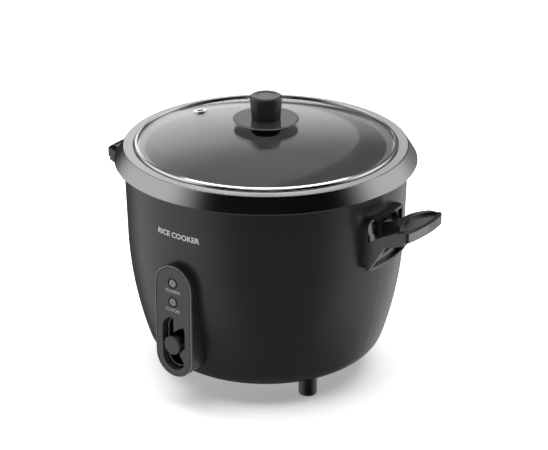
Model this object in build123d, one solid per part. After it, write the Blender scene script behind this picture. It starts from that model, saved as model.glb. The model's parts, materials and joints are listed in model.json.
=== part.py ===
from build123d import *
import math
import os

# Electric rice cooker with a lift-off glass lid and a lift-out pot. Millimetres, +Z up.
# The origin is on the body's axis, at the level that the legs stand on.
# The front, with the control panel, faces -Y. The two side handles are on the X axis.

# Body shell: a straight taper above a long bulge and a tighter bottom corner.
taper_deg = 1.56            # the wall's lean in its upper part
bulge_z = 135.0             # where the taper meets the bulge
bulge_r = 126.54            # outer radius at that level
bulge_arc = 344.0           # profile radius of the bulge
corner_deg = 18.1           # the wall's lean where the bulge meets the corner
corner_arc = 29.0           # profile radius of the corner
shell_t = 1.0
shell_top_z = 209.9
mouth_r = 72.5              # opening in the shell's bottom

# Rim ring and what hangs in it
ring_seat_z = 211.5
ring_gap_r = 119.7
ring_top_z = 217.0
crease_r = 128.4
lip_r = 137.0
lip_z = 202.5
shroud_r = 113.4
shroud_t = 0.8
shroud_floor_z = 64.0

# Pot
pot_r = 109.0
pot_t = 1.4
pot_floor_z = 87.0
pot_corner = 22.0
pot_flange_r = 118.6
pot_flange_z = 211.6
pot_flange_t = 1.3

# Lid and knob
dome_apex_z = 234.5
dome_r = 434.5
glass_t = 4.0
glass_r = 117.95
lid_rim_r = 118.9
lid_rim_z = 213.0
disc_r = 29.5
disc_z = 238.0
disc_t = 2.0
knob_low_r = 13.0
knob_high_r = 14.85
knob_top_z = 261.6
boss_r = 13.0
boss_z = 223.5
vent_r = 79.0
vent_azimuth = -92.5
vent_hole_r = 3.0

# Heating plate and thermostat, on the axis
plate_r = 88.0
plate_top_z = 86.7
plate_t = 8.0
plate_hole_r = 17.5
element_r = 62.0
element_tube_r = 3.6
element_z = 74.0
sensor_r = 15.0
sensor_top_z = 86.9
sensor_low_z = 66.0
magnet_r = 10.5
magnet_top_z = 74.6
magnet_t = 6.0
rod_r = 2.0
frame_floor_z = 52.0

# Switch lever
hinge_y = -30.0
hinge_z = 45.0
button_z = 66.0
button_r = 8.75
arm_w = 9.0
arm_t = 2.0

# Control panel at the front
panel_y = -134.0
panel_w = 40.3
panel_h = 106.6
panel_z = 88.25             # middle of the panel
panel_t = 2.2
lamp_zs = {"warm": 125.6, "cook": 107.5}
lamp_r = 3.9
slot_w = 25.3
slot_h = 51.1
slot_z = 67.05

# Side handles
handle_low_z = 132.5
handle_high_z = 182.0
handle_yaw_deg = 1.2        # both handles sit this far behind the X axis
handle_plate_r = 133.2      # radius of the back plate's rim, round the body's axis
handle_floor_r = 129.6      # radius of the floor of its recess
handle_half_w = 28.0
handle_arm_t = 3.6
handle_arm_splay_deg = 0.6
handle_arm_end_x = 167.5
grip_low_z = 170.5
grip_h = 11.0
grip_front_x = 173.4

# Legs and base
leg_r = 8.5
leg_circle_r = 82.0
leg_azimuths = {"front_right": 64.9, "front_left": -64.9, "rear": 180.0}
shell_floor_z = 17.5
base_pan_z = 16.6
base_t = 1.2

os.makedirs("parts", exist_ok=True)


def save(name, shape):
    export_step(shape, f"parts/{name}.step")


def polar(radius, azimuth, z=0.0):
    # azimuths run from the front, -Y, towards +X
    angle = math.radians(azimuth)
    return Vector(radius * math.sin(angle), -radius * math.cos(angle), z)


def on_arc(centre, radius, drop_deg):
    # a profile point on an arc, drop_deg below the horizontal through its centre
    angle = math.radians(drop_deg)
    return (centre[0] + radius * math.cos(angle), centre[1] - radius * math.sin(angle))


def disc(radius, low, high, hole=0.0):
    body = Pos(0, 0, low) * Cylinder(radius, high - low, align=(Align.CENTER, Align.CENTER, Align.MIN))
    if hole:
        body -= Pos(0, 0, low) * Cylinder(hole, high - low, align=(Align.CENTER, Align.CENTER, Align.MIN))
    return body


def turned(points):
    # a ring or bowl from its profile, as (radius, height) points in order
    face = make_face(Polyline(*points, close=True))
    return revolve(Plane.XZ * face, Axis.Z)


def turned_edges(edges):
    return revolve(Plane.XZ * make_face(edges), Axis.Z)


def box(low, high):
    size = [b - a for a, b in zip(low, high)]
    middle = [(a + b) / 2 for a, b in zip(low, high)]
    return Pos(*middle) * Box(*size)


def screw(point, direction, shank_r, shank, head_r, head):
    # a round-headed screw whose head's underside is at the point, its shank along the direction
    place = Plane(origin=point, z_dir=direction)
    body = place * Cylinder(shank_r, shank, align=(Align.CENTER, Align.CENTER, Align.MIN))
    cap = place * Pos(0, 0, -head) * Cylinder(head_r, head, align=(Align.CENTER, Align.CENTER, Align.MIN))
    rim = cap.edges().group_by(SortBy.LENGTH)[-1]
    slot = place * Pos(0, 0, -head) * Box(head_r * 1.2, head_r * 0.25, head * 0.8)
    return body + fillet(rim.filter_by(GeomType.CIRCLE), head * 0.3) - slot


# Body shell

bulge_centre = (bulge_r - bulge_arc * math.cos(math.radians(taper_deg)),
                bulge_z + bulge_arc * math.sin(math.radians(taper_deg)))
corner_join = on_arc(bulge_centre, bulge_arc, corner_deg)
corner_centre = (corner_join[0] - corner_arc * math.cos(math.radians(corner_deg)),
                 corner_join[1] + corner_arc * math.sin(math.radians(corner_deg)))


def wall_r(z):
    # the shell's outer radius at a height
    if z >= bulge_z:
        return bulge_r + (z - bulge_z) * math.tan(math.radians(taper_deg))
    if z >= corner_join[1]:
        return bulge_centre[0] + math.sqrt(bulge_arc ** 2 - (bulge_centre[1] - z) ** 2)
    return corner_centre[0] + math.sqrt(corner_arc ** 2 - (corner_centre[1] - z) ** 2)


def wall_edges(inset, low_r, top_z):
    # the wall's profile from the bottom opening to the top, moved inwards by the inset
    floor = (corner_centre[0], corner_centre[1] - corner_arc + inset)
    mid_corner = on_arc(corner_centre, corner_arc - inset, (90 + corner_deg) / 2)
    join = on_arc(corner_centre, corner_arc - inset, corner_deg)
    mid_bulge = on_arc(bulge_centre, bulge_arc - inset, (corner_deg + taper_deg) / 2)
    bulge = on_arc(bulge_centre, bulge_arc - inset, taper_deg)
    top = (wall_r(top_z) - inset / math.cos(math.radians(taper_deg)), top_z)
    edges = [Line((low_r, floor[1]), floor), ThreePointArc(floor, mid_corner, join),
             ThreePointArc(join, mid_bulge, bulge), Line(bulge, top)]
    return edges, (low_r, floor[1]), top


def body_solid(grow=0.0, low_r=0.0):
    # the whole body as if it were solid, grown outwards
    edges, first, top = wall_edges(-grow, low_r, shell_top_z)
    return turned_edges(edges + [Line(top, (low_r, top[1])), Line((low_r, top[1]), first)])


def slot_cutter(width, height, z, y_low, y_high):
    # an upright stadium running along Y
    sketch = Plane.XZ * Pos(0, z) * SlotOverall(height, width, rotation=90)
    return Pos(0, y_high, 0) * extrude(sketch, y_high - y_low)


handle_screw_zs = (150.0, 168.0)


def on_side(shape, side):
    # a shape made on the +X axis, turned to where the right or left handle sits
    turned_shape = Rot(0, 0, handle_yaw_deg) * shape
    return turned_shape if side > 0 else mirror(turned_shape, about=Plane.YZ)


def handle_screw_hole(z, hole_r, end_x):
    # from inside the body outwards along +X
    return Pos(0, 0, z) * Rot(0, 90, 0) * disc(hole_r, 110.0, end_x)


def outer_shell():
    outer, first_out, top_out = wall_edges(0.0, mouth_r, shell_top_z)
    inner, first_in, top_in = wall_edges(shell_t, mouth_r, shell_top_z)
    shell = turned_edges(outer + inner + [Line(first_out, first_in), Line(top_out, top_in)])
    shell -= slot_cutter(22.0, 48.0, 65.0, -140.0, -90.0)
    shell -= slot_cutter(14.0, 34.0, 115.0, -140.0, -90.0)
    for x, z, _ in panel_screw_places:
        shell -= Pos(x, -90.0, z) * Rot(90, 0, 0) * disc(1.4, 0.0, 50.0)
    shell -= box((-16.0, 90.0, 37.0), (16.0, 140.0, 59.0))
    for side in (-1, 1):
        for z in handle_screw_zs:
            shell -= on_side(handle_screw_hole(z, 2.3, 140.0), side)
    for azimuth in leg_azimuths.values():
        shell -= Pos(*polar(leg_circle_r - 3.0, azimuth, shell_floor_z)) * Cylinder(2.3, 8)
    return shell


# Ring and shroud

def rim_ring():
    # a moulded ring: a stepped seat for the pot, a flat top and a steep band that overhangs the body
    outline = Polyline((112.9, ring_seat_z), (ring_gap_r, ring_seat_z), (ring_gap_r, ring_top_z),
                       (crease_r, ring_top_z - 0.1), (lip_r, lip_z + 0.9), (lip_r - 0.5, lip_z),
                       (lip_r - 1.9, lip_z + 0.2), (130.6, shell_top_z), (127.2, shell_top_z),
                       (126.7, 204.0), (125.3, 204.0), (125.3, shell_top_z), (112.9, shell_top_z), close=True)
    face = make_face(outline)
    crease = face.vertices().sort_by_distance((crease_r, ring_top_z - 0.1))[0]
    face = fillet(crease, 1.2)
    step = face.vertices().sort_by_distance((ring_gap_r, ring_top_z))[0]
    face = fillet(step, 0.5)
    return revolve(Plane.XZ * face, Axis.Z)


terminal_azimuths = (-110.0, -70.0)
pillar_azimuths = (30.0, 150.0, 270.0)
stud_azimuths = (90.0, 210.0, 330.0)
pillar_circle_r = 62.0
stud_circle_r = 78.0


def inner_shroud():
    wall = turned([(0.0, shroud_floor_z), (shroud_r - 6, shroud_floor_z), (shroud_r, shroud_floor_z + 6),
                   (shroud_r, shell_top_z - shroud_t), (124.0, shell_top_z - shroud_t), (124.0, shell_top_z),
                   (shroud_r - shroud_t, shell_top_z), (shroud_r - shroud_t, shroud_floor_z + 6.4),
                   (shroud_r - 6.4, shroud_floor_z + shroud_t), (0.0, shroud_floor_z + shroud_t)])
    wall -= disc(17.0, shroud_floor_z - 1, shroud_floor_z + 3)
    for azimuth in terminal_azimuths:
        wall -= Pos(*polar(element_r, azimuth, shroud_floor_z)) * Cylinder(6.0, 8)
    for azimuth in stud_azimuths:
        wall -= Pos(*polar(stud_circle_r, azimuth, shroud_floor_z)) * Cylinder(1.8, 8)
    for azimuth in pillar_azimuths:
        wall -= Pos(*polar(pillar_circle_r, azimuth, shroud_floor_z)) * Cylinder(1.8, 8)
    return wall


# Base, legs and pillars

def base_plate():
    plate = turned([(0.0, base_pan_z), (69.0, base_pan_z), (71.6, base_pan_z + 2.0), (71.6, 18.9),
                    (86.0, 18.9), (86.0, 18.9 + base_t), (70.4, 18.9 + base_t), (70.4, base_pan_z + 2.4),
                    (68.6, base_pan_z + base_t), (0.0, base_pan_z + base_t)])
    for radius, count in ((24.0, 12), (38.0, 18), (52.0, 24)):
        for index in range(count):
            vent = Rot(0, 0, 360.0 * index / count) * Pos(radius, 0, base_pan_z) * Box(9.0, 3.0, 6.0)
            plate -= vent
    for azimuth in pillar_azimuths:
        plate -= Pos(*polar(pillar_circle_r, azimuth, base_pan_z)) * Cylinder(1.8, 6)
    for azimuth in leg_azimuths.values():
        plate -= Pos(*polar(leg_circle_r - 3.0, azimuth, 19)) * Cylinder(1.8, 6)
    return plate


def leg(azimuth):
    # a short stub, cut to sit against the shell, with a recess below for its screw and its pad
    middle = polar(leg_circle_r, azimuth)
    stub = Pos(*middle) * disc(leg_r, 0.0, 24.0)
    stub = fillet(stub.edges().filter_by(GeomType.CIRCLE).group_by(Axis.Z)[0], 2.0)
    stub -= body_solid(0.05, 0.0)
    stub -= disc(mouth_r + 0.4, -1, 30)
    stub -= Pos(*polar(leg_circle_r - 3.0, azimuth, -1)) * disc(2.2, 0, 30)
    stub -= Pos(*polar(leg_circle_r - 3.0, azimuth, -1)) * disc(4.2, 0, 10)
    return stub


def leg_screws():
    group = []
    for azimuth in leg_azimuths.values():
        group.append(screw(polar(leg_circle_r - 3.0, azimuth, 9.0), (0, 0, 1), 1.7, 12.5, 3.4, 2.0))
    return Compound(children=group)


def leg_pads():
    # a soft ring pressed over each leg's lower end, flush with it
    group = []
    for azimuth in leg_azimuths.values():
        group.append(Pos(*polar(leg_circle_r - 3.0, azimuth)) * disc(4.1, 0.0, 2.5, 2.4))
    return Compound(children=group)


def base_screws():
    group = []
    for azimuth in pillar_azimuths:
        group.append(screw(polar(pillar_circle_r, azimuth, base_pan_z - 0.05), (0, 0, 1), 1.6, 9.0, 3.2, 1.8))
    return Compound(children=group)


def shroud_pillars():
    group = []
    for azimuth in pillar_azimuths:
        pillar = Pos(*polar(pillar_circle_r, azimuth)) * disc(4.0, base_pan_z + base_t, shroud_floor_z, 1.65)
        group.append(pillar)
    return Compound(children=group)


def heater_studs():
    group = []
    for azimuth in stud_azimuths:
        place = Pos(*polar(stud_circle_r, azimuth))
        stud = place * disc(3.5, shroud_floor_z + shroud_t, plate_top_z - plate_t)
        stud += place * disc(1.6, shroud_floor_z - 4.0, shroud_floor_z + shroud_t)
        stud += place * disc(3.4, shroud_floor_z - 3.0, shroud_floor_z - 0.05)
        group.append(stud)
    return Compound(children=group)


# Heating plate, element and their small parts

def element_path_solid(tube_r):
    ring_section = Plane.XZ * Pos(element_r, element_z) * Circle(tube_r)
    ring = Rot(0, 0, terminal_azimuths[1] - 90.0) * revolve(ring_section, Axis.Z, revolution_arc=320.0)
    for azimuth in terminal_azimuths:
        ring += Pos(*polar(element_r, azimuth, element_z)) * Sphere(tube_r)
        ring += Pos(*polar(element_r, azimuth)) * disc(tube_r, 56.0, element_z)
    return ring


def heating_plate():
    plate = disc(plate_r, plate_top_z - plate_t, plate_top_z, plate_hole_r)
    top_edges = plate.edges().filter_by(GeomType.CIRCLE).group_by(Axis.Z)[-1]
    plate = chamfer(top_edges.sort_by(SortBy.LENGTH)[-1:], 1.2)
    rib = disc(element_r + 7.0, element_z, plate_top_z - plate_t, element_r - 7.0)
    neck = disc(plate_hole_r + 3.5, 70.0, plate_top_z - plate_t, plate_hole_r)
    return plate + rib + neck - element_path_solid(element_tube_r + 0.15)


def heater_terminals():
    group = []
    for azimuth in terminal_azimuths:
        tab = Pos(*polar(element_r, azimuth, 51.0)) * Rot(0, 0, azimuth) * Box(6.3, 0.8, 10.0)
        group.append(tab)
    return Compound(children=group)


def thermal_fuse():
    # a small tube in an insulating sleeve, clamped under the shroud's floor
    fuse = Pos(-36.0, fuse_y, fuse_z) * Rot(0, 90, 0) * Cylinder(3.1, 26.0)
    return fillet(fuse.edges(), 0.8)


def fuse_clip():
    strap = box((-39.5, 28.4, 56.4), (-32.5, 39.6, 63.95)) - box((-40.0, 30.0, 57.3), (-32.0, 38.0, 64.5))
    tab = box((-39.5, 39.4, 63.15), (-32.5, 47.0, 63.95))
    return strap + tab - Pos(-36, 43.5, 63) * Cylinder(1.7, 4)


def keep_warm_heater():
    # a flat mica strip heater on the shroud's wall, curved with it
    band = disc(shroud_r + 2.1, 120.0, 160.0, shroud_r + 0.1)
    sector = extrude(Plane.XY * make_face(Polyline((0, 0), (150, -46), (150, 46), close=True)), 300)
    return band & (Rot(0, 0, 40.0) * sector)


# Thermostat on the axis

def sensor_cap():
    cup = disc(sensor_r, sensor_low_z, sensor_top_z)
    cup -= disc(sensor_r - 1.2, sensor_low_z - 1, sensor_top_z - 1.0)
    return fillet(cup.edges().filter_by(GeomType.CIRCLE).group_by(Axis.Z)[-1], 0.8)


def sensor_ferrite():
    return disc(sensor_r - 2.4, 79.4, sensor_top_z - 1.0)


def thermostat_frame():
    frame = disc(19.0, frame_floor_z, 63.9, 17.6) + disc(19.0, frame_floor_z, frame_floor_z + 1.6)
    frame += disc(26.0, 62.9, 63.95, 17.6)
    frame -= disc(rod_r + 0.3, frame_floor_z - 1, frame_floor_z + 4)
    for azimuth in (60.0, 180.0, 300.0):
        frame -= Pos(*polar(22.6, azimuth, 63)) * Cylinder(1.6, 6)
    return frame


def spring(coil_r, wire_r, low, high, turns):
    path = Helix(pitch=(high - low - 2 * wire_r) / turns, height=high - low - 2 * wire_r, radius=coil_r)
    section = Plane(origin=path @ 0, z_dir=path % 0) * Circle(wire_r)
    return Pos(0, 0, low + wire_r) * sweep(section, path=path, is_frenet=True)


def magnet():
    return fillet(disc(magnet_r, magnet_top_z - magnet_t, magnet_top_z).edges(), 0.5)


def pull_rod():
    # the rod under the magnet, with a collar at its top and a cross pin in the lever's fork
    rod = disc(rod_r, 37.0, magnet_top_z - magnet_t)
    rod += disc(5.0, magnet_top_z - magnet_t - 1.4, magnet_top_z - magnet_t)
    pin = Pos(0, 0, hinge_z) * Rot(0, 90, 0) * Cylinder(1.2, 16.0)
    return rod + pin


# Lever

def lever_arm():
    # the strip from the rod's fork, past the hinge, out through the shell to the button's stem
    half = arm_t / 2
    upper = [(4.5, arm_z + half), (-84.0, arm_z + half), (-96.0, 44.5 + half), (-114.0, 56.0 + half),
             (-123.2, button_z + 4.0), (-125.2, button_z + 4.0)]
    lower = [(-125.2, button_z - 4.0), (-116.0, 56.0 - half), (-97.0, 44.0 - half),
             (-84.5, arm_z - half), (4.5, arm_z - half)]
    side = make_face(Polyline(*upper, *lower, close=True))
    strip = extrude(Plane.YZ * side, arm_w / 2, both=True)
    strip -= box((-3.0, -9.0, 30.0), (3.0, 8.0, 50.0))
    for x in (-arm_w / 2 + 0.6, arm_w / 2 - 0.6):
        ear = box((x - 0.6, hinge_y - 6, hinge_z - 5.0), (x + 0.6, hinge_y + 6, hinge_z + 4.5))
        fork = box((x - 0.6, -7.0, hinge_z - 5.0), (x + 0.6, 4.5, hinge_z + 2.6))
        strip += ear + fork
    strip -= Pos(0, hinge_y, hinge_z) * Rot(0, 90, 0) * Cylinder(2.05, 40)
    slot = Pos(0, 0, hinge_z) * Box(20.0, 5.0, 2.56)
    return strip - slot


def lever_button():
    disc_part = Pos(0, -135.6, button_z) * Rot(90, 0, 0) * Cylinder(button_r, 2.6)
    disc_part = fillet(disc_part.edges().filter_by(GeomType.CIRCLE).group_by(Axis.Y)[0], 1.0)
    stem = Pos(0, -129.9, button_z) * Rot(90, 0, 0) * Cylinder(3.4, 9.2)
    return disc_part + stem


def lever_pin():
    return Pos(0, hinge_y, hinge_z) * Rot(0, 90, 0) * Cylinder(2.0, 20.0)


def lever_bracket():
    # a folded bracket on the base plate that carries the hinge pin
    floor_z = base_pan_z + base_t
    bracket = box((-9.0, hinge_y - 8, floor_z), (9.0, hinge_y + 8, floor_z + 1.2))
    for side in (-1, 1):
        bracket += box((side * 7.9 - 0.8, hinge_y - 6, floor_z), (side * 7.9 + 0.8, hinge_y + 6, hinge_z + 6))
    return bracket - Pos(0, hinge_y, hinge_z) * Rot(0, 90, 0) * Cylinder(2.0, 40)


switch_y = -54.0
switch_top_z = 35.0
arm_z = hinge_z - 4.0          # middle of the arm's straight rear part


def microswitch():
    body = box((-5.0, switch_y - 10.0, base_pan_z + base_t + 5.0), (5.0, switch_y + 10.0, switch_top_z))
    body -= disc_at(0, switch_y, 1.7, 26.0, switch_top_z + 1)
    for y in (switch_y - 6.5, switch_y + 6.5):
        body -= Pos(0, y, 27.0) * Rot(0, 90, 0) * Cylinder(1.25, 12)
    return body


def disc_at(x, y, radius, low, high):
    return Pos(x, y, low) * Cylinder(radius, high - low, align=(Align.CENTER, Align.CENTER, Align.MIN))


def switch_bracket():
    floor_z = base_pan_z + base_t
    foot = box((5.2, switch_y - 10.0, floor_z), (13.0, switch_y + 10.0, floor_z + 1.2))
    wall = box((5.2, switch_y - 10.0, floor_z), (6.4, switch_y + 10.0, 33.0))
    bracket = foot + wall
    for y in (switch_y - 6.5, switch_y + 6.5):
        bracket -= Pos(0, y, 27.0) * Rot(0, 90, 0) * Cylinder(1.25, 20)
    return bracket


def switch_screws():
    group = []
    for y in (switch_y - 6.5, switch_y + 6.5):
        group.append(screw((6.45, y, 27.0), (-1, 0, 0), 1.2, 12.0, 2.2, 1.2))
    return Compound(children=group)


def switch_plunger():
    return disc_at(0, switch_y, 1.62, 30.5, arm_z - arm_t / 2 - 0.05)


# Control panel

def lever_opening(y_low, y_high):
    # the stadium slot, narrowed by a tongue from its upper right and a bump at its lower right
    slot = slot_cutter(slot_w, slot_h, slot_z, y_low, y_high)
    tongue = make_face(Polyline((0.1, 78.5), (6.1, 82.9), (10.6, 85.6), (20.0, 86.5), (20.0, 96.0),
                                (0.1, 96.0), close=True))
    bump = make_face(Polyline((6.0, 58.2), (12.0, 66.0), (20.0, 66.0), (20.0, 49.0), (12.2, 49.6),
                              close=True))
    for sketch in (tongue, bump):
        slot -= Pos(0, y_high + 1, 0) * extrude(Plane.XZ * sketch, y_high - y_low + 2)
    return slot


def panel_cover():
    # the front plate, its bevelled edge and the collar that lines the lever's opening
    plate = slot_cutter(panel_w, panel_h, panel_z, panel_y, panel_y + panel_t)
    plate = chamfer(plate.faces().sort_by(Axis.Y)[0].edges(), 0.7)
    collar = slot_cutter(slot_w + 2.6, slot_h + 2.6, slot_z, panel_y + panel_t, panel_y + 8.5)
    collar -= slot_cutter(slot_w, slot_h, slot_z, panel_y, panel_y + 9.0)
    collar -= body_solid(0.4, 0.0)
    plate += collar
    plate -= lever_opening(panel_y - 1, panel_y + panel_t + 0.01)
    for z in lamp_zs.values():
        plate -= Pos(0, panel_y, z) * Rot(90, 0, 0) * Cylinder(lamp_r + 0.1, 10)
    return plate


panel_screw_places = ((0.0, 137.0, 3.2), (-16.2, 62.0, 2.2), (16.2, 62.0, 2.2))


def panel_housing():
    # the side wall between the front plate and the body, open at its front and back
    wall = slot_cutter(panel_w, panel_h, panel_z, panel_y + panel_t, -100.0)
    wall -= slot_cutter(panel_w - 4.0, panel_h - 4.0, panel_z, panel_y, -90.0)
    for x, z, post_r in panel_screw_places:
        wall += Pos(x, -100.0, z) * Rot(90, 0, 0) * disc(post_r, 0.0, -panel_y - 106.5)
    wall -= body_solid(0.05, 0.0)
    for x, z, _ in panel_screw_places:
        wall -= Pos(x, -95.0, z) * Rot(90, 0, 0) * disc(1.15, 0.0, 31.0)
    return wall


def panel_screws():
    group = []
    for x, z, _ in panel_screw_places:
        start = -math.sqrt(wall_r(z) ** 2 - x ** 2) + shell_t + 0.9
        length = min(7.0, 126.0 + start)
        group.append(screw((x, start, z), (0, -1, 0), 1.1, length, 2.4, 1.4))
    return Compound(children=group)


def lamp_lens(z):
    lens = Pos(0, panel_y - 0.5, z) * Rot(-90, 0, 0) * disc(lamp_r, 0, 5.0)
    flange = Pos(0, panel_y + panel_t + 0.05, z) * Rot(-90, 0, 0) * disc(lamp_r + 1.0, 0, 1.0)
    return fillet(lens.edges().filter_by(GeomType.CIRCLE).group_by(Axis.Y)[0], 1.2) + flange


def lamp_holder():
    holder = box((-6.0, -127.9, 101.5), (6.0, -126.9, 131.6))
    for z in lamp_zs.values():
        holder -= Pos(0, -127, z) * Rot(90, 0, 0) * Cylinder(2.3, 10)
    return holder


def lamp_bulbs():
    group = []
    for z in lamp_zs.values():
        tube = Pos(0, -123.0, z) * Rot(90, 0, 0) * disc(2.2, 0.0, 5.6)
        group.append(fillet(tube.edges().filter_by(GeomType.CIRCLE).group_by(Axis.Y)[0], 1.5))
    return Compound(children=group)


# Mains inlet at the rear

inlet_z = 48.0


def inlet_socket():
    # a recessed three-pin socket in a flanged housing that stands against the body
    pod = box((-19.0, 96.0, inlet_z - 14.5), (19.0, 121.0, inlet_z + 14.5))
    pod = fillet(pod.edges().filter_by(Axis.Y), 4.0)
    pod -= body_solid(0.05, 0.0)
    pod = chamfer(pod.faces().sort_by(Axis.Y)[-1].edges(), 1.0)
    core = box((-15.5, 92.0, inlet_z - 10.5), (15.5, 119.0, inlet_z + 10.5))
    cavity = box((-12.6, 102.5, inlet_z - 8.0), (12.6, 123.0, inlet_z + 8.0))
    socket = pod + core - cavity
    for x in (-6.8, 0.0, 6.8):
        z = inlet_z + (2.6 if x == 0.0 else -1.6)
        socket -= Pos(x, 96, z) * Rot(90, 0, 0) * Cylinder(2.05, 20)
    for x in (-11.0, 11.0):
        socket -= Pos(x, 92, inlet_z - 9.2) * Rot(90, 0, 0) * Cylinder(0.9, 10)
    return socket


def inlet_pins():
    group = []
    for x in (-6.8, 0.0, 6.8):
        z = inlet_z + (2.6 if x == 0.0 else -1.6)
        pin = Pos(x, 86.0, z) * Rot(-90, 0, 0) * disc(2.0, 0.0, 29.0)
        group.append(fillet(pin.edges().filter_by(GeomType.CIRCLE).group_by(Axis.Y)[-1], 0.8))
    return Compound(children=group)


# Wires inside the body

wire_r = 1.3
wire_bend = 5.0
fuse_y = 34.0
fuse_z = 60.6
wire_routes = {
    "wire_live": [
        [(-6.8, 85.9, 46.4), (-6.8, 70.0, 46.4), (-6.0, 48.0, 58.0), (-7.0, fuse_y, fuse_z),
         (-22.95, fuse_y, fuse_z)],
        [(-49.05, fuse_y, fuse_z), (-61.0, fuse_y, fuse_z), (-61.0, fuse_y, 34.0), (-58.26, 21.2, 34.0),
         (-58.26, 21.2, 45.95)]],
    "wire_neutral": [
        [(6.8, 85.9, 46.4), (6.8, 68.0, 46.4), (24.0, 40.0, 28.0), (24.0, -74.0, 28.0), (2.5, -74.0, 28.0),
         (2.5, -64.05, 28.0)],
        [(-2.5, -64.05, 28.0), (-2.5, -78.0, 28.0), (-34.0, -74.0, 28.0), (-58.26, -44.0, 30.0),
         (-58.26, -21.2, 32.0), (-58.26, -21.2, 45.95)]],
    "wire_earth": [
        [(0.0, 85.9, 50.6), (0.0, 72.0, 50.6), (12.0, 60.0, 34.0), (12.0, 60.0, 17.9)]],
}


def wire(points):
    # straight runs joined by tangent bends
    path = FilletPolyline(*points, radius=wire_bend)
    section = Plane(origin=path @ 0, z_dir=path % 0) * Circle(wire_r)
    return sweep(section, path=path)


# Side handles

def handle_bracket():
    # back plate round the body, two arms flush with its ends, a rib on each side and a short neck
    plate = disc(handle_plate_r, handle_low_z, handle_high_z) & box(
        (100.0, -handle_half_w, handle_low_z), (140.0, handle_half_w, handle_high_z))
    plate = fillet(plate.edges().filter_by(Axis.X), 8.0)
    recess = disc(150.0, handle_low_z + 2.6, handle_high_z - 2.5, handle_floor_r)
    inner_w = handle_half_w - 2.6
    plate -= recess & box((100.0, -inner_w, 0.0), (160.0, inner_w, handle_high_z))
    shelf = disc(handle_plate_r + 2.2, handle_high_z - 2.5, handle_high_z, handle_floor_r)
    plate += shelf & box((100.0, -handle_half_w + 8.0, 0.0), (140.0, handle_half_w - 8.0, handle_high_z))
    for u in (-14.5, 14.5):
        plate += box((120.0, u - 0.75, 164.0), (132.6, u + 0.75, handle_high_z - 1.0))
    profile = make_face(Polyline((128.0, 133.5), (131.5, 135.0), (147.0, 160.0), (handle_arm_end_x, 167.4),
                                 (handle_arm_end_x, 179.2), (155.0, 175.2), (143.0, 169.2), (130.0, 161.0),
                                 (128.0, 160.0), close=True))
    flange = make_face(Polyline((130.0, 161.0), (143.0, 169.2), (155.0, 175.2), (handle_arm_end_x, 179.2),
                                (handle_arm_end_x, 177.6), (155.0, 173.6), (143.0, 167.6), (130.0, 159.4),
                                close=True))
    for sign in (-1, 1):
        arm = extrude(Plane.XZ * profile, handle_arm_t / 2, both=True)
        arm += Pos(0, -sign * 1.8, 0) * extrude(Plane.XZ * flange, handle_arm_t / 2, both=True)
        splay = Rot(0, 0, sign * handle_arm_splay_deg)
        plate += Pos(130.0, sign * (handle_half_w - handle_arm_t / 2), 0) * splay * Pos(-130.0, 0, 0) * arm
    neck = make_face(Polyline((128.0, 140.0), (140.0, 152.0), (152.5, 171.0), (152.5, 177.0), (145.0, 177.0),
                              (128.0, 172.0), close=True))
    plate += extrude(Plane.XZ * neck, 4.5, both=True)
    plate -= Rot(0, 0, -handle_yaw_deg) * body_solid(0.05, 0.0)
    plate -= grip_solid(0.1)
    for z in handle_screw_zs:
        plate -= handle_screw_hole(z, 1.3, 134.0)
    return plate


def grip_outline():
    # a crescent between the arms, whose outer part wraps over their ends
    tip_x = handle_arm_end_x + 0.1
    arm_end_u = handle_half_w + (tip_x - 130.0) * math.tan(math.radians(handle_arm_splay_deg))
    inside_u = arm_end_u - handle_arm_t - 0.1
    shoulder_x = tip_x + 2.8
    outer = ThreePointArc((shoulder_x, -arm_end_u), (grip_front_x, 0.0), (shoulder_x, arm_end_u))
    inner = ThreePointArc((160.0, inside_u - 0.4), (149.5, 0.0), (160.0, -inside_u + 0.4))
    right = [(shoulder_x, arm_end_u), (tip_x, arm_end_u), (tip_x, inside_u), (160.0, inside_u - 0.4)]
    left = [(x, -u) for x, u in reversed(right)]
    return [outer, Polyline(*right), inner, Polyline(*left)]


def grip_solid(grow=0.0):
    outline = make_face(grip_outline())
    if grow:
        outline = offset(outline, amount=grow)
    return Pos(0, 0, grip_low_z - grow) * extrude(outline, grip_h + 2 * grow)


def handle_grip():
    # chamfered along its outer edge and dished on top
    grip = grip_solid()
    top = grip.faces().sort_by(Axis.Z)[-1]
    outer_edge = top.edges().sort_by(Axis.X)[-1]
    grip = chamfer(outer_edge, length=2.5, length2=4.0)
    uprights = grip.edges().filter_by(Axis.Z).sort_by(Axis.X)
    grip = fillet(uprights[-2:], 2.8)
    rim = ThreePointArc((168.0, -24.4), (171.2, 0.0), (168.0, 24.4))
    inside = ThreePointArc((163.6, 22.4), (155.5, 0.0), (163.6, -22.4))
    dish = make_face([rim, Line((168.0, 24.4), (163.6, 22.4)), inside, Line((163.6, -22.4), (168.0, -24.4))])
    grip -= Pos(0, 0, grip_low_z + grip_h - 2.2) * extrude(dish, 5.0)
    return grip


def handle_screws():
    # they run from inside the body into the handle's neck
    group = [screw(Vector(wall_r(z) - 1.5, 0, z), (1, 0, 0), 1.2, 8.0, 2.8, 1.6) for z in handle_screw_zs]
    return Compound(children=group)


# Pot

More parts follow.
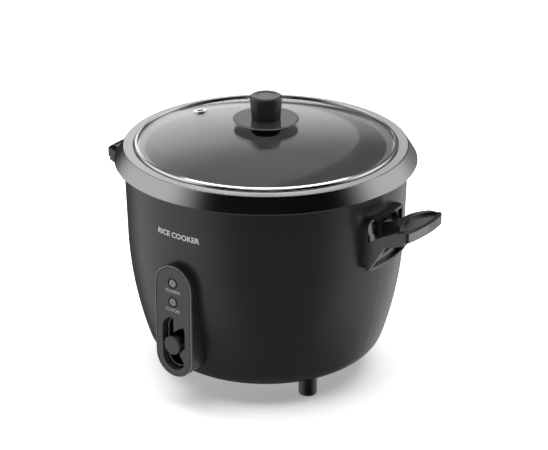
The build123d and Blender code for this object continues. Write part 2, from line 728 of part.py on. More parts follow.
def inner_pot():
    r_in = pot_r - pot_t
    corner_in = pot_corner - pot_t
    top = pot_flange_z + pot_flange_t
    c_r = pot_r - pot_corner
    c_z = pot_floor_z + pot_corner
    bend = 2.4
    outer = [Line((0, pot_floor_z), (c_r, pot_floor_z)),
             ThreePointArc((c_r, pot_floor_z), on_arc((c_r, c_z), pot_corner, 45), (pot_r, c_z)),
             Line((pot_r, c_z), (pot_r, pot_flange_z)),
             Line((pot_r, pot_flange_z), (pot_flange_r, pot_flange_z)),
             Line((pot_flange_r, pot_flange_z), (pot_flange_r, top)),
             Line((pot_flange_r, top), (r_in + bend, top)),
             ThreePointArc((r_in + bend, top), (r_in + bend * 0.293, top - bend * 0.293), (r_in, top - bend)),
             Line((r_in, top - bend), (r_in, c_z)),
             ThreePointArc((r_in, c_z), on_arc((c_r, c_z), corner_in, 45), (c_r, c_z - corner_in)),
             Line((c_r, c_z - corner_in), (0, pot_floor_z + pot_t)),
             Line((0, pot_floor_z + pot_t), (0, pot_floor_z))]
    return turned_edges(outer)


# Lid

dome_centre_z = dome_apex_z - dome_r


def dome_z(radius, depth=0.0):
    return dome_centre_z + math.sqrt((dome_r - depth) ** 2 - radius ** 2)


def vent_place():
    # on the glass's outer face, its Z along the dome's normal
    point = polar(vent_r, vent_azimuth, dome_z(vent_r))
    return Plane(origin=point, z_dir=point - Vector(0, 0, dome_centre_z))


def lid_glass():
    hole = 4.2
    top = ThreePointArc((hole, dome_z(hole)), (60, dome_z(60)), (glass_r, dome_z(glass_r)))
    low = ThreePointArc((hole, dome_z(hole, glass_t)), (60, dome_z(60, glass_t)),
                        (glass_r, dome_z(glass_r, glass_t)))
    glass = turned_edges([top, low, Line((hole, dome_z(hole)), (hole, dome_z(hole, glass_t))),
                          Line((glass_r, dome_z(glass_r)), (glass_r, dome_z(glass_r, glass_t)))])
    return glass - vent_place() * disc(vent_hole_r + 0.8, -10, 10)


def lid_rim():
    # a rolled ring that holds the glass's edge; its lower leg rests on the pot's flange
    roll = [(lid_rim_r, 217.3), (118.65, 218.2), (118.0, 218.95), (116.2, 219.75), (115.9, 219.0)]
    channel = [(118.05, 218.35), (118.05, 213.85), (113.6, 213.85), (113.6, lid_rim_z)]
    return turned([(lid_rim_r, lid_rim_z)] + roll + channel)


def vent_grommet():
    # a rolled eyelet through the glass
    collar = disc(vent_hole_r + 0.7, -glass_t - 1.2, 1.2, vent_hole_r)
    collar += disc(vent_hole_r + 3.2, 0.1, 1.2, vent_hole_r)
    collar += disc(vent_hole_r + 3.2, -glass_t - 1.2, -glass_t - 0.1, vent_hole_r)
    return vent_place() * collar


def knob_grip():
    knob = Pos(0, 0, disc_z + disc_t) * Cone(knob_low_r, knob_high_r, knob_top_z - disc_z - disc_t,
                                             align=(Align.CENTER, Align.CENTER, Align.MIN))
    knob = fillet(knob.edges().filter_by(GeomType.CIRCLE).group_by(Axis.Z)[-1], 2.2)
    knob -= disc(9.4, knob_top_z - 0.5, knob_top_z + 1)
    knob -= disc(2.0, 230, disc_z + disc_t + 12.0)
    return knob


def knob_disc():
    plate = disc(disc_r, disc_z, disc_z + disc_t, 2.6)
    return fillet(plate.edges().filter_by(GeomType.CIRCLE).group_by(SortBy.LENGTH)[-1], 0.6)


def knob_washer():
    # a soft stem through the glass that keeps the disc off it
    stem = disc(4.0, dome_z(0, glass_t), dome_apex_z + 0.1, 2.3)
    return stem + disc(9.0, dome_apex_z + 0.05, disc_z, 2.3)


def knob_boss():
    boss = disc(boss_r, boss_z, 230.2, 2.3)
    low_edges = boss.edges().filter_by(GeomType.CIRCLE).group_by(Axis.Z)[0]
    boss = fillet(low_edges.sort_by(SortBy.LENGTH)[-1:], 1.2)
    return boss - disc(4.6, boss_z - 1, boss_z + 2.6)


def knob_screw():
    return screw((0, 0, boss_z + 2.6), (0, 0, 1), 1.98, 24.0, 4.0, 2.0)


rows = {
    "outer_shell": outer_shell(),
    "rim_ring": rim_ring(),
    "inner_shroud": inner_shroud(),
    "base_plate": base_plate(),
    "leg_screws": leg_screws(),
    "leg_pads": leg_pads(),
    "base_screws": base_screws(),
    "shroud_pillars": shroud_pillars(),
    "heater_studs": heater_studs(),
    "heating_plate": heating_plate(),
    "heating_element": element_path_solid(element_tube_r),
    "heater_terminals": heater_terminals(),
    "thermal_fuse": thermal_fuse(),
    "fuse_clip": fuse_clip(),
    "keep_warm_heater": keep_warm_heater(),
    "sensor_cap": sensor_cap(),
    "sensor_ferrite": sensor_ferrite(),
    "thermostat_frame": thermostat_frame(),
    "sensor_spring": spring(14.4, 0.55, frame_floor_z + 1.6, sensor_low_z, 3.5),
    "magnet": magnet(),
    "magnet_spring": spring(4.2, 0.45, frame_floor_z + 1.6, magnet_top_z - magnet_t - 1.4, 6.0),
    "pull_rod": pull_rod(),
    "lever_arm": lever_arm(),
    "lever_button": lever_button(),
    "lever_pin": lever_pin(),
    "lever_bracket": lever_bracket(),
    "microswitch": microswitch(),
    "switch_bracket": switch_bracket(),
    "switch_screws": switch_screws(),
    "switch_plunger": switch_plunger(),
    "panel_cover": panel_cover(),
    "panel_housing": panel_housing(),
    "panel_screws": panel_screws(),
    "lamp_holder": lamp_holder(),
    "lamp_bulbs": lamp_bulbs(),
    "inlet_socket": inlet_socket(),
    "inlet_pins": inlet_pins(),
    "inner_pot": inner_pot(),
    "lid_glass": lid_glass(),
    "lid_rim": lid_rim(),
    "vent_grommet": vent_grommet(),
    "knob_grip": knob_grip(),
    "knob_disc": knob_disc(),
    "knob_washer": knob_washer(),
    "knob_boss": knob_boss(),
    "knob_screw": knob_screw(),
}
for name, routes in wire_routes.items():
    rows[name] = Compound(children=[wire(route) for route in routes])
for name, azimuth in leg_azimuths.items():
    rows[f"leg_{name}"] = leg(azimuth)
for name, z in lamp_zs.items():
    rows[f"lamp_lens_{name}"] = lamp_lens(z)
for name, side in (("left", -1), ("right", 1)):
    rows[f"handle_bracket_{name}"] = on_side(handle_bracket(), side)
    rows[f"handle_grip_{name}"] = on_side(handle_grip(), side)
    rows[f"handle_screws_{name}"] = on_side(handle_screws(), side)
for name, shape in rows.items():
    save(name, shape)
print(len(rows), "nodes")
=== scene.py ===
"""Looks for the rice cooker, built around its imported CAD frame. Metres, +Z up, front at -Y."""
import json
import math

import bpy
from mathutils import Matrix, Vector


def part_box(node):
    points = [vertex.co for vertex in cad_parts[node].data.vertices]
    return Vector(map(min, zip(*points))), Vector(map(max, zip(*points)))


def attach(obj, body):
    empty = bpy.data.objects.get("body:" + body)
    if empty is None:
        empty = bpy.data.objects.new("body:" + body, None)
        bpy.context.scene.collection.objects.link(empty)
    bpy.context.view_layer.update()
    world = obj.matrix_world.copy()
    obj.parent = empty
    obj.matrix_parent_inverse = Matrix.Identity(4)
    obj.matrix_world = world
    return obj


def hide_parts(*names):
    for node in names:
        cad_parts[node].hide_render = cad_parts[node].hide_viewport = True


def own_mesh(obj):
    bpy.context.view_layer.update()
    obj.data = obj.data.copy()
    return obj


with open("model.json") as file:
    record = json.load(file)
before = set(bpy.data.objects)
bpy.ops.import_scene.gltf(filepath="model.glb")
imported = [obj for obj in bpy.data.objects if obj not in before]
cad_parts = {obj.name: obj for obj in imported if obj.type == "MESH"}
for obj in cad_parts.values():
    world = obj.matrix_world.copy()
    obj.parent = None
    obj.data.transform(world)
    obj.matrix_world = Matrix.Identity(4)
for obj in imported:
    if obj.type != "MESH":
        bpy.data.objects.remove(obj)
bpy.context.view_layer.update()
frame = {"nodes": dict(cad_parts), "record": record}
nodes = frame["nodes"]

# Camera and studio, as angles from the front (-Y) towards +X
CAMERA_AZIMUTH = 37.3
CAMERA_ELEVATION = 23.38
CAMERA_DISTANCE = 1.8
CAMERA_LENS = 128.76        # millimetres, as the sensor's width is
CAMERA_SENSOR = 36.0
CAMERA_AIM_RIGHT = 0.0072   # the camera aims this far to the right of the body's axis
CAMERA_AIM_HEIGHT = 0.135
LIGHT_AIM_HEIGHT = 0.12
DARK_AZIMUTH = CAMERA_AZIMUTH + 10.0    # the unlit side of the studio
STUDIO_LIGHT = 0.95
FLOOR_REACH = 6.0
FLOOR_GLOW = 0.31
FLOOR_GLOW_NEAR = 0.15      # the glow starts to grow at this distance from the middle
FLOOR_GLOW_FAR = 0.8        # and is as bright as the backdrop at this one


def direction(azimuth, elevation):
    a = math.radians(azimuth)
    e = math.radians(elevation)
    return Vector((math.sin(a) * math.cos(e), -math.cos(a) * math.cos(e), math.sin(e)))


# ---------------------------------------------------------------- camera, floor, lights

def add_camera():
    data = bpy.data.cameras.new("camera")
    data.lens = CAMERA_LENS
    data.sensor_width = CAMERA_SENSOR
    data.clip_start = 0.05
    camera = bpy.data.objects.new("camera", data)
    bpy.context.collection.objects.link(camera)
    facing = math.radians(CAMERA_AZIMUTH)
    right = Vector((math.cos(facing), math.sin(facing), 0))
    target = right * CAMERA_AIM_RIGHT + Vector((0, 0, CAMERA_AIM_HEIGHT))
    away = direction(CAMERA_AZIMUTH, CAMERA_ELEVATION)
    camera.location = target + away * CAMERA_DISTANCE
    camera.rotation_euler = away.to_track_quat("Z", "Y").to_euler()
    bpy.context.scene.camera = camera


def add_area(name, azimuth, elevation, distance, width, height, power, shape="RECTANGLE",
             seen_by=("glossy", "transmission")):
    # a card or softbox that faces the cooker; only the rays in seen_by meet it
    data = bpy.data.lights.new(name, "AREA")
    data.shape = shape
    data.size = width
    data.size_y = height
    data.energy = power
    light = bpy.data.objects.new(name, data)
    bpy.context.collection.objects.link(light)
    away = direction(azimuth, elevation)
    light.location = Vector((0, 0, LIGHT_AIM_HEIGHT)) + away * distance
    light.rotation_euler = away.to_track_quat("Z", "Y").to_euler()
    light.visible_camera = False
    light.visible_glossy = "glossy" in seen_by
    light.visible_transmission = "transmission" in seen_by
    light.visible_diffuse = "diffuse" in seen_by
    return light


def limit_light(light, name, parts, state="INCLUDE"):
    # the light reaches only these parts, or with EXCLUDE all but these
    group = bpy.data.collections.new(name)
    for part in parts:
        group.objects.link(nodes[part])
    light.light_linking.receiver_collection = group
    for entry in group.collection_objects:
        entry.light_linking.link_state = state


def add_lights():
    softbox = add_area("back_softbox", CAMERA_AZIMUTH + 188.0, 29.0, distance=2.2, width=1.6, height=2.3,
                       power=2.6, shape="ELLIPSE")
    limit_light(softbox, "out_of_softbox", HANDLE_PARTS, "EXCLUDE")
    side_card = add_area("side_card", CAMERA_AZIMUTH + 88.0, 5.0, distance=1.6, width=1.3, height=1.6,
                         power=16.0)
    limit_light(side_card, "beside_card", HANDLE_PARTS)
    rim_card = add_area("rim_card", CAMERA_AZIMUTH + 180.0, 80.0, distance=2.4, width=2.0, height=2.0,
                        power=26.0)
    limit_light(rim_card, "under_rim_card", ("lid_rim",))
    # the main light is mirrored in nothing
    add_area("overhead", CAMERA_AZIMUTH + 180.0, 84.0, distance=2.6, width=3.8, height=3.8, power=150.0,
             seen_by=("diffuse",))
    # lights the pot through the lid's glass
    add_area("pot_fill", CAMERA_AZIMUTH, 50.0, distance=1.6, width=0.8, height=0.8, power=6.0,
             seen_by=("transmission",))


def combine(tree, operation, first, second):
    both = tree.nodes.new("ShaderNodeMath")
    both.operation = operation
    tree.links.new(first, both.inputs[0])
    tree.links.new(second, both.inputs[1])
    return both.outputs[0]


def toward(tree, view, aim, edge, core, outside=1.0, inside=0.0):
    # a studio brightness that goes from outside to inside as the view turns towards aim: edge and core are
    # the angles from aim, in degrees, where that starts and ends
    dot = tree.nodes.new("ShaderNodeVectorMath")
    dot.operation = "DOT_PRODUCT"
    dot.inputs[1].default_value = aim
    ranger = tree.nodes.new("ShaderNodeMapRange")
    ranger.interpolation_type = "SMOOTHSTEP"
    ranger.inputs["From Min"].default_value = math.cos(math.radians(edge))
    ranger.inputs["From Max"].default_value = math.cos(math.radians(core))
    ranger.inputs["To Min"].default_value = outside
    ranger.inputs["To Max"].default_value = inside
    tree.links.new(view, dot.inputs[0])
    tree.links.new(dot.outputs["Value"], ranger.inputs["Value"])
    return ranger.outputs["Result"]


def studio_shade(tree, view):
    # how bright the studio is in each direction: white, but for an unlit side, which gives the body its dark
    # middle, and four dim zones
    unlit_side = toward(tree, view, direction(DARK_AZIMUTH - 2.0, 20.0), edge=84.0, core=50.0)
    ceiling = toward(tree, view, direction(0.0, 90.0), edge=34.0, core=24.0, outside=0.0, inside=1.0)
    shade = combine(tree, "MAXIMUM", unlit_side, ceiling)
    low_front = toward(tree, view, direction(DARK_AZIMUTH + 7.0, -24.0), edge=48.0, core=8.0, inside=0.06)
    far_side = toward(tree, view, direction(CAMERA_AZIMUTH + 180.0, 28.0), edge=58.0, core=38.0, inside=0.14)
    low_far_side = toward(tree, view, direction(CAMERA_AZIMUTH + 194.0, -23.0), edge=40.0, core=13.0,
                          inside=0.08)
    below = toward(tree, view, direction(0.0, -90.0), edge=60.0, core=34.0, inside=0.12)
    for dim_zone in (low_front, far_side, low_far_side, below):
        shade = combine(tree, "MULTIPLY", shade, dim_zone)
    # a round panel on the far side glows most at its lower left, as the camera sees it, and has a crisp edge
    glow = toward(tree, view, direction(CAMERA_AZIMUTH + 193.0, 12.0), edge=30.0, core=3.0, outside=0.0,
                  inside=0.8)
    panel = toward(tree, view, direction(CAMERA_AZIMUTH + 188.0, 24.0), edge=25.0, core=23.5, outside=0.0,
                   inside=1.0)
    return combine(tree, "ADD", shade, combine(tree, "MULTIPLY", glow, panel))


def add_world():
    # the camera sees a plain white backdrop, and the parts are lit by the shaded studio
    world = bpy.data.worlds.new("studio")
    bpy.context.scene.world = world
    world.use_nodes = True
    tree = world.node_tree
    tree.nodes.clear()
    place = tree.nodes.new("ShaderNodeTexCoord")
    light_path = tree.nodes.new("ShaderNodeLightPath")
    studio = tree.nodes.new("ShaderNodeBackground")
    studio.inputs["Strength"].default_value = STUDIO_LIGHT
    backdrop = tree.nodes.new("ShaderNodeBackground")
    backdrop.inputs["Color"].default_value = (1, 1, 1, 1)
    choose = tree.nodes.new("ShaderNodeMixShader")
    out = tree.nodes.new("ShaderNodeOutputWorld")
    tree.links.new(studio_shade(tree, place.outputs["Generated"]), studio.inputs["Color"])
    tree.links.new(light_path.outputs["Is Camera Ray"], choose.inputs["Fac"])
    tree.links.new(studio.outputs[0], choose.inputs[1])
    tree.links.new(backdrop.outputs[0], choose.inputs[2])
    tree.links.new(choose.outputs[0], out.inputs["Surface"])


def floor_material():
    # the floor glows a little, and more with distance, so that it ends in the white backdrop
    white = make_material("floor_white", (0.9, 0.9, 0.9), 0.9, specular=0.0)
    shader = shader_of(white)
    shader.inputs["Emission Color"].default_value = (1, 1, 1, 1)
    place = add_node(white, "ShaderNodeTexCoord")
    distance = add_node(white, "ShaderNodeVectorMath", operation="LENGTH")
    fade = add_node(white, "ShaderNodeMapRange")
    fade.inputs["From Min"].default_value = FLOOR_GLOW_NEAR
    fade.inputs["From Max"].default_value = FLOOR_GLOW_FAR
    fade.inputs["To Min"].default_value = FLOOR_GLOW
    fade.inputs["To Max"].default_value = 1.0
    link(white, place.outputs["Object"], distance.inputs[0])
    link(white, distance.outputs["Value"], fade.inputs["Value"])
    link(white, fade.outputs["Result"], shader.inputs["Emission Strength"])
    return white


def add_floor():
    mesh = bpy.data.meshes.new("floor")
    corners = [(FLOOR_REACH * x, FLOOR_REACH * y, 0) for x, y in ((-1, -1), (1, -1), (1, 1), (-1, 1))]
    mesh.from_pydata(corners, [], [(0, 1, 2, 3)])
    floor = bpy.data.objects.new("floor", mesh)
    bpy.context.collection.objects.link(floor)
    floor.data.materials.append(floor_material())
    floor.visible_glossy = False


# ---------------------------------------------------------------- materials

BROAD_SCALE = 14.0          # of the slow change in gloss over a part, in features per metre
GLOSS_CHANGE = (0.93, 1.07)
GRAIN_BUMP = 0.5


def shader_of(material):
    return material.node_tree.nodes["Principled BSDF"]


def link(material, output, socket):
    material.node_tree.links.new(output, socket)


def make_material(name, colour, roughness, metallic=0.0, specular=0.5, transmission=0.0):
    material = bpy.data.materials.new(name)
    material.use_nodes = True
    shader = shader_of(material)
    shader.inputs["Base Color"].default_value = (*colour, 1)
    shader.inputs["Roughness"].default_value = roughness
    shader.inputs["Metallic"].default_value = metallic
    shader.inputs["Specular IOR Level"].default_value = specular
    shader.inputs["Transmission Weight"].default_value = transmission
    return material


def add_node(material, kind, **settings):
    node = material.node_tree.nodes.new(kind)
    for key, value in settings.items():
        setattr(node, key, value)
    return node


def noise(material, scale, detail=2.0, stretch=(1, 1, 1)):
    # a noise in the part's own coordinates; scale is in features per metre
    place = add_node(material, "ShaderNodeTexCoord")
    mapping = add_node(material, "ShaderNodeMapping")
    mapping.inputs["Scale"].default_value = stretch
    texture = add_node(material, "ShaderNodeTexNoise")
    texture.inputs["Scale"].default_value = scale
    texture.inputs["Detail"].default_value = detail
    link(material, place.outputs["Object"], mapping.inputs["Vector"])
    link(material, mapping.outputs["Vector"], texture.inputs["Vector"])
    return texture.outputs["Fac"]


def vary_colour(material, value, dark, light):
    mix = add_node(material, "ShaderNodeMix", data_type="RGBA")
    mix.inputs["A"].default_value = (*dark, 1)
    mix.inputs["B"].default_value = (*light, 1)
    link(material, value, mix.inputs["Factor"])
    link(material, mix.outputs["Result"], shader_of(material).inputs["Base Color"])


def vary_roughness(material, value, low, high):
    # a noise seldom leaves 0.3 to 0.7, so that stretch is mapped onto the whole range
    ranger = add_node(material, "ShaderNodeMapRange")
    ranger.inputs["From Min"].default_value = 0.3
    ranger.inputs["From Max"].default_value = 0.7
    ranger.inputs["To Min"].default_value = low
    ranger.inputs["To Max"].default_value = high
    link(material, value, ranger.inputs["Value"])
    link(material, ranger.outputs["Result"], shader_of(material).inputs["Roughness"])


def add_bump(material, value, height, strength):
    bump = add_node(material, "ShaderNodeBump")
    bump.inputs["Strength"].default_value = strength
    bump.inputs["Distance"].default_value = height
    link(material, value, bump.inputs["Height"])
    link(material, bump.outputs["Normal"], shader_of(material).inputs["Normal"])


def grained(name, colour, roughness, grain, height, metallic=0.0, change=0.12, specular=0.5,
            stretch=(1, 1, 1)):
    # a finish whose colour, gloss and surface vary a little: grain is in features per metre, height in metres
    material = make_material(name, colour, roughness, metallic, specular)
    fine = noise(material, grain, 3.0, stretch)
    broad = noise(material, BROAD_SCALE)
    dark = tuple(c * (1 - change) for c in colour)
    light = tuple(min(1.0, c * (1 + change)) for c in colour)
    vary_colour(material, fine, dark, light)
    vary_roughness(material, broad, *(roughness * factor for factor in GLOSS_CHANGE))
    if height:
        add_bump(material, fine, height, GRAIN_BUMP)
    return material


def glass_material(name):
    # clear glass with faint smears
    material = make_material(name, (0.93, 0.94, 0.94), 0.02, transmission=1.0)
    shader_of(material).inputs["IOR"].default_value = 1.5
    vary_roughness(material, noise(material, 9.0, 3.0), 0.012, 0.03)
    return material


def lens_material():
    # a clear moulded lens with small facets
    material = make_material("lamp_lens", (0.25, 0.25, 0.25), 0.1, specular=0.6, transmission=0.4)
    place = add_node(material, "ShaderNodeTexCoord")
    facets = add_node(material, "ShaderNodeTexVoronoi")
    facets.inputs["Scale"].default_value = 620.0
    link(material, place.outputs["Object"], facets.inputs["Vector"])
    add_bump(material, facets.outputs["Distance"], height=0.0006, strength=0.9)
    vary_roughness(material, noise(material, 800.0), 0.07, 0.14)
    return material


# The finish of each material slot: name, colour, roughness, grain and grain's height, as grained() takes them
FINISHES = {
    "body_paint": grained("black_satin_paint", (0.014, 0.014, 0.0145), 0.3, 2600, 0.00002),
    "ring_finish": grained("dark_polished_metal", (0.44, 0.44, 0.445), 0.2, 3000, 0.00001, metallic=1.0,
                           change=0.05),
    "black_plastic": grained("black_plastic", (0.011, 0.011, 0.0115), 0.34, 1800, 0.00003),
    "panel_plastic": grained("panel_plastic", (0.035, 0.035, 0.036), 0.42, 2400, 0.00002),
    "disc_finish": grained("gloss_black_disc", (0.02, 0.02, 0.02), 0.1, 900, 0.0),
    "pot_aluminium": grained("spun_aluminium", (0.55, 0.55, 0.555), 0.42, 500, 0.00001, metallic=0.5,
                             change=0.06, stretch=(1, 1, 12)),
    "cast_aluminium": grained("cast_aluminium", (0.5, 0.5, 0.51), 0.45, 900, 0.00005, metallic=1.0),
    "rim_steel": grained("polished_steel", (0.82, 0.82, 0.83), 0.14, 1500, 0.0, metallic=1.0, change=0.03),
    "plated_steel": grained("zinc_plate", (0.48, 0.48, 0.5), 0.35, 700, 0.00001, metallic=1.0),
    "screw_steel": grained("plated_screw", (0.5, 0.5, 0.52), 0.3, 900, 0.0, metallic=1.0),
    "spring_steel": grained("spring_wire", (0.45, 0.45, 0.46), 0.3, 1500, 0.0, metallic=1.0),
    "ferrite": grained("ferrite", (0.05, 0.05, 0.055), 0.5, 1500, 0.00003),
    "brass_parts": grained("brass", (0.72, 0.53, 0.24), 0.28, 900, 0.0, metallic=1.0),
    "rubber_parts": grained("black_rubber", (0.02, 0.02, 0.02), 0.7, 2200, 0.00004, specular=0.3),
    "insulation": grained("wire_insulation", (0.25, 0.03, 0.025), 0.45, 1200, 0.00002),
    "lid_glass": glass_material("lid_glass"),
    "bulb_glass": glass_material("bulb_glass"),
    "lens_clear": lens_material(),
}

# Nodes whose finish isn't that of their slot
HANDLE_PARTS = ("handle_grip_left", "handle_grip_right", "handle_bracket_left", "handle_bracket_right")
HANDLE_PLASTIC = grained("handle_plastic", (0.014, 0.014, 0.0145), 0.2, 1800, 0.00001, specular=0.7)
NODE_FINISHES = {
    "lever_arm": grained("phosphated_steel", (0.05, 0.05, 0.052), 0.5, 900, 0.00002, metallic=0.8),
    "panel_housing": grained("gloss_housing", (0.012, 0.012, 0.0125), 0.26, 1800, 0.00002),
    "knob_grip": grained("polished_knob", (0.02, 0.02, 0.02), 0.18, 1500, 0.00001, specular=0.6),
    "vent_grommet": grained("bright_grommet", (0.95, 0.95, 0.95), 0.08, 1500, 0.0, metallic=1.0, change=0.02),
    **dict.fromkeys(HANDLE_PARTS, HANDLE_PLASTIC),
}


def dress_nodes():
    for part in frame["record"]["subparts"]:
        node = part["node"]
        materials = nodes[node].data.materials
        materials.clear()
        materials.append(NODE_FINISHES.get(node, FINISHES[part["material_slot"]]))


# ---------------------------------------------------------------- pieces

panel_low, panel_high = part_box("panel_cover")
PANEL_FACE_Y = panel_low[1]
PANEL_CENTRE_Z = (panel_low[2] + panel_high[2]) / 2
PANEL_HALF_W = panel_high[0]
PANEL_HALF_H = (panel_high[2] - panel_low[2]) / 2
SLOT_CENTRE_Z = 0.06705     # the opening that the lever's button moves in
SLOT_HALF_W = 0.01265
SLOT_HALF_H = 0.02555
LAMPS = ("warm", "cook")
LAMP_HEIGHTS = {lamp: sum(corner[2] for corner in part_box(f"lamp_lens_{lamp}")) / 2 for lamp in LAMPS}
# radius of the ring of painted shade round each lamp's lens
LAMP_SHADE_RING_R = 0.0047
LAMP_LABEL_DROP = 0.0077
WALL_LEAN = math.radians(1.56)
NAME_AZIMUTH = 0.5
NAME_CENTRE_Z = 0.1685
NAME_WALL_R = 0.12745       # the body's radius at the name's middle
disc_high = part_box("knob_disc")[1]
DISC_R = disc_high[0]
DISC_TOP_Z = disc_high[2]
# the painted highlight line on the disc's rim: its radius, inset and drop below the disc's top
DISC_HIGHLIGHT_R = 0.00035
DISC_HIGHLIGHT_INSET = 0.00005
DISC_HIGHLIGHT_DROP = 0.0009
spring_low, spring_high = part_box("sensor_spring")
SPRING_SEAT_Z = spring_low[2]
SPRING_TOP_Z = spring_high[2]
SPRING_WIRE_R = 0.00055
SPRING_TURNS = 3.5


def new_piece(name, vertices, faces, material, body):
    mesh = bpy.data.meshes.new(name)
    mesh.from_pydata(vertices, [], faces)
    mesh.polygons.foreach_set("use_smooth", [True] * len(mesh.polygons))
    mesh.update()
    piece = bpy.data.objects.new(name, mesh)
    bpy.context.collection.objects.link(piece)
    mesh.materials.append(material)
    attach(piece, body)
    return piece


def ring_faces(count, ring, closed=True):
    # the faces of a tube of count rings, each of ring points
    faces = []
    for i in range(count if closed else count - 1):
        for k in range(ring):
            a, b = i * ring, (i + 1) % count * ring
            faces.append((a + k, b + k, b + (k + 1) % ring, a + (k + 1) % ring))
    return faces


def round_section(radius, middle=0.0, steps=10):
    # (outwards, depth) pairs, listed so that the faces that they make look outwards
    turn = [2 * math.pi * k / steps for k in range(steps)]
    return [(radius * math.cos(t), middle - radius * math.sin(t)) for t in turn]


def stadium(half_w, half_h, steps=20):
    # points and outward directions round an upright slot shape, in x and z
    rise = half_h - half_w
    points = []
    for centre_z, start in ((rise, 0.0), (-rise, math.pi)):
        for i in range(steps + 1):
            angle = start + math.pi * i / steps
            out = (math.cos(angle), math.sin(angle))
            points.append(((half_w * out[0], centre_z + half_w * out[1]), out))
    return points


def panel_line(name, half_w, half_h, centre_z, material, radius, inset=0.0, depth=0.0):
    # a round line that follows an upright slot shape, inset from its edge and behind the panel's face
    section = round_section(radius, PANEL_FACE_Y + depth)
    path = stadium(half_w - inset, half_h - inset)
    vertices = []
    for (x, z), (out_x, out_z) in path:
        vertices += [(x + out_x * outwards, y, centre_z + z + out_z * outwards) for outwards, y in section]
    new_piece(name, vertices, ring_faces(len(path), len(section)), material, "base")


def panel_trim():
    # painted shade: near-black lines where the gap round the panel's cover is shaded
    gap_shade = grained("panel_gap_shade", (0.004, 0.004, 0.004), 0.6, 1500, 0.00001)
    # painted highlights: a lighter line round the panel's edge and a lighter lip inside the lever's slot
    painted_highlight = grained("panel_painted_highlight", (0.13, 0.13, 0.131), 0.22, 1500, 0.0)
    panel_line("panel_rim_highlight", PANEL_HALF_W, PANEL_HALF_H, PANEL_CENTRE_Z, painted_highlight,
               radius=0.00055, inset=0.0004, depth=0.00035)
    panel_line("panel_gap_shade", PANEL_HALF_W, PANEL_HALF_H, PANEL_CENTRE_Z, gap_shade,
               radius=0.0003, inset=0.0014, depth=0.0001)
    panel_line("lever_slot_lip_highlight", SLOT_HALF_W, SLOT_HALF_H, SLOT_CENTRE_Z, painted_highlight,
               radius=0.0006, inset=0.0022, depth=0.0062)
    # a dark ring of painted shade in the shaded recess round each lamp's lens
    for lamp, lamp_z in LAMP_HEIGHTS.items():
        panel_line(f"lamp_shade_ring_{lamp}", LAMP_SHADE_RING_R, LAMP_SHADE_RING_R, lamp_z, gap_shade, radius=0.00045)


def ring_path(radius, steps=96):
    # points and outward directions round a level circle, in x and y
    turn = [2 * math.pi * i / steps for i in range(steps)]
    return [((radius * math.cos(t), radius * math.sin(t)), (math.cos(t), math.sin(t))) for t in turn]


def disc_trim():
    # a painted highlight: a thin lighter line round the top edge of the disc under the knob
    painted_highlight = grained("disc_painted_highlight", (0.2, 0.2, 0.2), 0.16, 1500, 0.0)
    section = round_section(DISC_HIGHLIGHT_R)
    path = ring_path(DISC_R - DISC_HIGHLIGHT_INSET)
    middle_z = DISC_TOP_Z - DISC_HIGHLIGHT_DROP
    vertices = []
    for (x, y), (out_x, out_y) in path:
        vertices += [(x + out_x * outwards, y + out_y * outwards, middle_z - depth)
                     for outwards, depth in section]
    new_piece("disc_rim_highlight", vertices, ring_faces(len(path), len(section)), painted_highlight, "lid")


def coil(name, radius, wire_r, low, high, turns, material, body, steps=40, ring=8):
    # a round wire wound upwards, with flat ends
    vertices = []
    count = int(turns * steps) + 1
    for i in range(count):
        turn = 2 * math.pi * i / steps
        z = low + wire_r + (high - low - 2 * wire_r) * i / (count - 1)
        for k in range(ring):
            around = 2 * math.pi * k / ring
            reach = radius + wire_r * math.cos(around)
            vertices.append((reach * math.cos(turn), reach * math.sin(turn), z + wire_r * math.sin(around)))
    faces = ring_faces(count, ring, closed=False)
    faces += [tuple(range(ring)), tuple(reversed(range((count - 1) * ring, count * ring)))]
    return new_piece(name, vertices, faces, material, body)


def pressed_spring():
    # the spring under the sensor, which shortens as the sensor is pushed down, made here as a fixed wound
    # coil in place of its CAD node
    spring = coil("sensor_spring_coil", spring_high[0] - SPRING_WIRE_R, SPRING_WIRE_R, SPRING_SEAT_Z,
                  SPRING_TOP_Z, SPRING_TURNS, FINISHES["spring_steel"], "base")
    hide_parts("sensor_spring")
    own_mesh(spring)


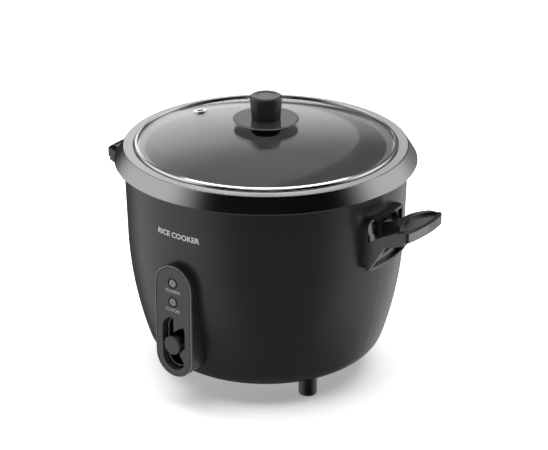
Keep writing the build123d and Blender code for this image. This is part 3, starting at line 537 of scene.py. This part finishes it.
def lettering(name, text, material, body, place, height, width, thickness, boldness):
    # flat letters whose outline is mapped onto the part by place(across, up, out)
    curve = bpy.data.curves.new(name, "FONT")
    curve.body = text
    curve.align_x = "CENTER"
    curve.resolution_u = 4
    curve.extrude = 0.5     # to each side, so the letters are 1 deep until place() has them
    curve.offset = boldness
    source = bpy.data.objects.new(name + "_outline", curve)
    bpy.context.collection.objects.link(source)
    bpy.context.view_layer.update()
    mesh = bpy.data.meshes.new_from_object(source.evaluated_get(bpy.context.evaluated_depsgraph_get()))
    bpy.data.objects.remove(source)
    across = [v.co.x for v in mesh.vertices]
    up = [v.co.y for v in mesh.vertices]
    wide = width / (max(across) - min(across))
    tall = height / (max(up) - min(up))
    middle_x = (max(across) + min(across)) / 2
    middle_y = (max(up) + min(up)) / 2
    for vertex in mesh.vertices:
        x, y, z = vertex.co
        vertex.co = place((x - middle_x) * wide, (y - middle_y) * tall, (z + 0.5) * thickness)
    mesh.name = name
    mesh.materials.clear()
    mesh.materials.append(material)
    piece = bpy.data.objects.new(name, mesh)
    bpy.context.collection.objects.link(piece)
    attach(piece, body)


def on_panel(centre_z, sink=0.00003):
    return lambda across, up, out: (across, PANEL_FACE_Y + sink - out, centre_z + up)


def on_wall(azimuth, centre_z, radius, sink=0.00004):
    def place(across, up, out):
        angle = math.radians(azimuth) + across / radius
        reach = radius + up * math.tan(WALL_LEAN) - sink + out
        return (reach * math.sin(angle), -reach * math.cos(angle), centre_z + up)
    return place


def labels():
    print_grey = grained("label_print", (0.25, 0.25, 0.25), 0.45, 2000, 0.0)
    name_grey = grained("name_print", (0.42, 0.42, 0.42), 0.4, 2000, 0.0)
    for lamp, lamp_z in LAMP_HEIGHTS.items():
        lettering(f"label_{lamp}", lamp.upper(), print_grey, "base", on_panel(lamp_z - LAMP_LABEL_DROP),
                  height=0.0033, width=0.0165, thickness=0.0001, boldness=0.02)
    lettering("label_kind", "RICE COOKER", name_grey, "base",
              on_wall(NAME_AZIMUTH, NAME_CENTRE_Z, NAME_WALL_R),
              height=0.0052, width=0.046, thickness=0.00012, boldness=0.025)


bpy.context.scene.view_settings.view_transform = "Standard"
add_camera()
add_world()
add_floor()
add_lights()
dress_nodes()
panel_trim()
disc_trim()
pressed_spring()
labels()
